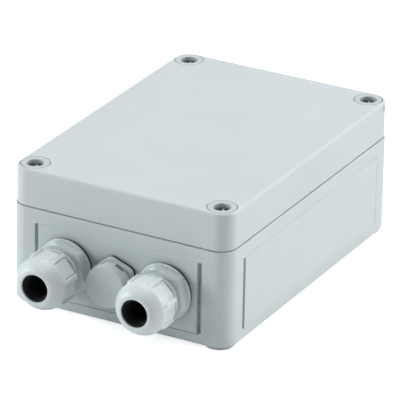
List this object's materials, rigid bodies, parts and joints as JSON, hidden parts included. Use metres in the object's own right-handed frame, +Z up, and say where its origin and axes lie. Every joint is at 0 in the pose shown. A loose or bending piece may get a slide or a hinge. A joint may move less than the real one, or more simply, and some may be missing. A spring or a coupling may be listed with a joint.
{
  "type": "electrical junction box",
  "caption": "Grey plastic junction box with a screwed lid, cable glands and a vent plug in its front wall, and rail terminals inside.",
  "frame": {"origin": "centre of the base's underside, 1.5 mm above the plane of the four feet", "axes": "+X to the right along the short front wall with the glands, +Y back along the length, +Z up through the lid"},
  "size_m": [0.1128, 0.1898, 0.0665],
  "materials": {
    "shell": "fine spark-eroded grain, light grey",
    "screw_plastic": "smooth moulded light grey",
    "gland_plastic": "semi-gloss moulded polyamide, light grey",
    "vent_plastic": "matt moulded grey",
    "seal_rubber": "black elastomer",
    "natural_plastic": "natural white",
    "zinc_steel": "bright zinc plated",
    "plated_brass": "plated brass",
    "terminal_plastic": "moulded mid grey",
    "earth_plastic": "green with a yellow band"
  },
  "bodies": {
    "enclosure": {"base": "shell", "din_rail": "zinc_steel", "rail_screw_1": "zinc_steel", "rail_screw_2": "zinc_steel", "end_stop_left": "terminal_plastic", "end_stop_right": "terminal_plastic", "terminal_end_plate": "terminal_plastic", "gland_body_left": "gland_plastic", "gland_body_right": "gland_plastic", "gland_washer_left": "seal_rubber", "gland_washer_right": "seal_rubber", "gland_locknut_left": "gland_plastic", "gland_locknut_right": "gland_plastic", "vent_gasket": "seal_rubber", "vent_body": "vent_plastic", "vent_cap": "vent_plastic", "vent_membrane": "natural_plastic", "vent_locknut": "vent_plastic", "earth_terminal": "earth_plastic", "earth_terminal_bar": "plated_brass", "terminal_1": "terminal_plastic", "terminal_1_bar": "plated_brass", "terminal_2": "terminal_plastic", "terminal_2_bar": "plated_brass", "terminal_3": "terminal_plastic", "terminal_3_bar": "plated_brass"},
    "cover": {"lid": "shell", "lid_gasket": "seal_rubber", "screw_retainer_1": "natural_plastic", "screw_retainer_2": "natural_plastic", "screw_retainer_3": "natural_plastic", "screw_retainer_4": "natural_plastic"},
    "screw_rise_1": {"screw_seal_1": "seal_rubber"},
    "screw_turn_1": {"lid_screw_1": "screw_plastic"},
    "screw_rise_2": {"screw_seal_2": "seal_rubber"},
    "screw_turn_2": {"lid_screw_2": "screw_plastic"},
    "screw_rise_3": {"screw_seal_3": "seal_rubber"},
    "screw_turn_3": {"lid_screw_3": "screw_plastic"},
    "screw_rise_4": {"screw_seal_4": "seal_rubber"},
    "screw_turn_4": {"lid_screw_4": "screw_plastic"},
    "gland_grip_left": {"gland_seal_insert_left": "seal_rubber"},
    "gland_nut_left": {"gland_dome_nut_left": "gland_plastic"},
    "gland_grip_right": {"gland_seal_insert_right": "seal_rubber"},
    "gland_nut_right": {"gland_dome_nut_right": "gland_plastic"},
    "earth_terminal_clamp_front": {"earth_terminal_cage_front": "zinc_steel"},
    "earth_terminal_driver_front": {"earth_terminal_screw_front": "zinc_steel"},
    "earth_terminal_clamp_back": {"earth_terminal_cage_back": "zinc_steel"},
    "earth_terminal_driver_back": {"earth_terminal_screw_back": "zinc_steel"},
    "terminal_1_clamp_front": {"terminal_1_cage_front": "zinc_steel"},
    "terminal_1_driver_front": {"terminal_1_screw_front": "zinc_steel"},
    "terminal_1_clamp_back": {"terminal_1_cage_back": "zinc_steel"},
    "terminal_1_driver_back": {"terminal_1_screw_back": "zinc_steel"},
    "terminal_2_clamp_front": {"terminal_2_cage_front": "zinc_steel"},
    "terminal_2_driver_front": {"terminal_2_screw_front": "zinc_steel"},
    "terminal_2_clamp_back": {"terminal_2_cage_back": "zinc_steel"},
    "terminal_2_driver_back": {"terminal_2_screw_back": "zinc_steel"},
    "terminal_3_clamp_front": {"terminal_3_cage_front": "zinc_steel"},
    "terminal_3_driver_front": {"terminal_3_screw_front": "zinc_steel"},
    "terminal_3_clamp_back": {"terminal_3_cage_back": "zinc_steel"},
    "terminal_3_driver_back": {"terminal_3_screw_back": "zinc_steel"}
  },
  "joints": [
    {"name": "lid_lift", "type": "slide", "parent": "enclosure", "child": "cover", "axis": [0, 0, 1], "range_m": [0, 0.06]},
    {"name": "lid_screw_rise_1", "type": "slide", "parent": "cover", "child": "screw_rise_1", "axis": [0, 0, 1], "range_m": [0, 0.006]},
    {"name": "lid_screw_turn_1", "type": "hinge", "parent": "screw_rise_1", "child": "screw_turn_1", "pos_m": [0.0476, -0.0713, 0.065], "axis": [0, 0, 1], "range_deg": [0, 720]},
    {"name": "lid_screw_rise_2", "type": "slide", "parent": "cover", "child": "screw_rise_2", "axis": [0, 0, 1], "range_m": [0, 0.006]},
    {"name": "lid_screw_turn_2", "type": "hinge", "parent": "screw_rise_2", "child": "screw_turn_2", "pos_m": [0.0476, 0.0713, 0.065], "axis": [0, 0, 1], "range_deg": [0, 720]},
    {"name": "lid_screw_rise_3", "type": "slide", "parent": "cover", "child": "screw_rise_3", "axis": [0, 0, 1], "range_m": [0, 0.006]},
    {"name": "lid_screw_turn_3", "type": "hinge", "parent": "screw_rise_3", "child": "screw_turn_3", "pos_m": [-0.0476, 0.0713, 0.065], "axis": [0, 0, 1], "range_deg": [0, 720]},
    {"name": "lid_screw_rise_4", "type": "slide", "parent": "cover", "child": "screw_rise_4", "axis": [0, 0, 1], "range_m": [0, 0.006]},
    {"name": "lid_screw_turn_4", "type": "hinge", "parent": "screw_rise_4", "child": "screw_turn_4", "pos_m": [-0.0476, -0.0713, 0.065], "axis": [0, 0, 1], "range_deg": [0, 720]},
    {"name": "gland_grip_slide_left", "type": "slide", "parent": "enclosure", "child": "gland_grip_left", "axis": [0, -1, 0], "range_m": [0, 0.003]},
    {"name": "gland_nut_turn_left", "type": "hinge", "parent": "gland_grip_left", "child": "gland_nut_left", "pos_m": [-0.0253, -0.1, 0.0231], "axis": [0, -1, 0], "range_deg": [0, 720]},
    {"name": "gland_grip_slide_right", "type": "slide", "parent": "enclosure", "child": "gland_grip_right", "axis": [0, -1, 0], "range_m": [0, 0.003]},
    {"name": "gland_nut_turn_right", "type": "hinge", "parent": "gland_grip_right", "child": "gland_nut_right", "pos_m": [0.0253, -0.1, 0.0231], "axis": [0, -1, 0], "range_deg": [0, 720]},
    {"name": "earth_terminal_cage_rise_front", "type": "slide", "parent": "enclosure", "child": "earth_terminal_clamp_front", "axis": [0, 0, 1], "range_m": [0, 0.0035]},
    {"name": "earth_terminal_screw_turn_front", "type": "hinge", "parent": "enclosure", "child": "earth_terminal_driver_front", "pos_m": [-0.0126, 0.002, 0.0468], "axis": [0, 0, -1], "range_deg": [0, 2520]},
    {"name": "earth_terminal_cage_rise_back", "type": "slide", "parent": "enclosure", "child": "earth_terminal_clamp_back", "axis": [0, 0, 1], "range_m": [0, 0.0035]},
    {"name": "earth_terminal_screw_turn_back", "type": "hinge", "parent": "enclosure", "child": "earth_terminal_driver_back", "pos_m": [-0.0126, 0.026, 0.0468], "axis": [0, 0, -1], "range_deg": [0, 2520]},
    {"name": "terminal_1_cage_rise_front", "type": "slide", "parent": "enclosure", "child": "terminal_1_clamp_front", "axis": [0, 0, 1], "range_m": [0, 0.0035]},
    {"name": "terminal_1_screw_turn_front", "type": "hinge", "parent": "enclosure", "child": "terminal_1_driver_front", "pos_m": [-0.0042, 0.002, 0.0468], "axis": [0, 0, -1], "range_deg": [0, 2520]},
    {"name": "terminal_1_cage_rise_back", "type": "slide", "parent": "enclosure", "child": "terminal_1_clamp_back", "axis": [0, 0, 1], "range_m": [0, 0.0035]},
    {"name": "terminal_1_screw_turn_back", "type": "hinge", "parent": "enclosure", "child": "terminal_1_driver_back", "pos_m": [-0.0042, 0.026, 0.0468], "axis": [0, 0, -1], "range_deg": [0, 2520]},
    {"name": "terminal_2_cage_rise_front", "type": "slide", "parent": "enclosure", "child": "terminal_2_clamp_front", "axis": [0, 0, 1], "range_m": [0, 0.0035]},
    {"name": "terminal_2_screw_turn_front", "type": "hinge", "parent": "enclosure", "child": "terminal_2_driver_front", "pos_m": [0.0042, 0.002, 0.0468], "axis": [0, 0, -1], "range_deg": [0, 2520]},
    {"name": "terminal_2_cage_rise_back", "type": "slide", "parent": "enclosure", "child": "terminal_2_clamp_back", "axis": [0, 0, 1], "range_m": [0, 0.0035]},
    {"name": "terminal_2_screw_turn_back", "type": "hinge", "parent": "enclosure", "child": "terminal_2_driver_back", "pos_m": [0.0042, 0.026, 0.0468], "axis": [0, 0, -1], "range_deg": [0, 2520]},
    {"name": "terminal_3_cage_rise_front", "type": "slide", "parent": "enclosure", "child": "terminal_3_clamp_front", "axis": [0, 0, 1], "range_m": [0, 0.0035]},
    {"name": "terminal_3_screw_turn_front", "type": "hinge", "parent": "enclosure", "child": "terminal_3_driver_front", "pos_m": [0.0126, 0.002, 0.0468], "axis": [0, 0, -1], "range_deg": [0, 2520]},
    {"name": "terminal_3_cage_rise_back", "type": "slide", "parent": "enclosure", "child": "terminal_3_clamp_back", "axis": [0, 0, 1], "range_m": [0, 0.0035]},
    {"name": "terminal_3_screw_turn_back", "type": "hinge", "parent": "enclosure", "child": "terminal_3_driver_back", "pos_m": [0.0126, 0.026, 0.0468], "axis": [0, 0, -1], "range_deg": [0, 2520]}
  ],
  "couplings": [
    {"joint": "lid_screw_turn_1", "follows": "lid_screw_rise_1", "rad_per_m": 2094.4},
    {"joint": "lid_screw_turn_2", "follows": "lid_screw_rise_2", "rad_per_m": 2094.4},
    {"joint": "lid_screw_turn_3", "follows": "lid_screw_rise_3", "rad_per_m": 2094.4},
    {"joint": "lid_screw_turn_4", "follows": "lid_screw_rise_4", "rad_per_m": 2094.4},
    {"joint": "gland_nut_turn_left", "follows": "gland_grip_slide_left", "rad_per_m": 4188.8},
    {"joint": "gland_nut_turn_right", "follows": "gland_grip_slide_right", "rad_per_m": 4188.8},
    {"joint": "earth_terminal_screw_turn_front", "follows": "earth_terminal_cage_rise_front", "rad_per_m": 12566},
    {"joint": "earth_terminal_screw_turn_back", "follows": "earth_terminal_cage_rise_back", "rad_per_m": 12566},
    {"joint": "terminal_1_screw_turn_front", "follows": "terminal_1_cage_rise_front", "rad_per_m": 12566},
    {"joint": "terminal_1_screw_turn_back", "follows": "terminal_1_cage_rise_back", "rad_per_m": 12566},
    {"joint": "terminal_2_screw_turn_front", "follows": "terminal_2_cage_rise_front", "rad_per_m": 12566},
    {"joint": "terminal_2_screw_turn_back", "follows": "terminal_2_cage_rise_back", "rad_per_m": 12566},
    {"joint": "terminal_3_screw_turn_front", "follows": "terminal_3_cage_rise_front", "rad_per_m": 12566},
    {"joint": "terminal_3_screw_turn_back", "follows": "terminal_3_cage_rise_back", "rad_per_m": 12566}
  ]
}
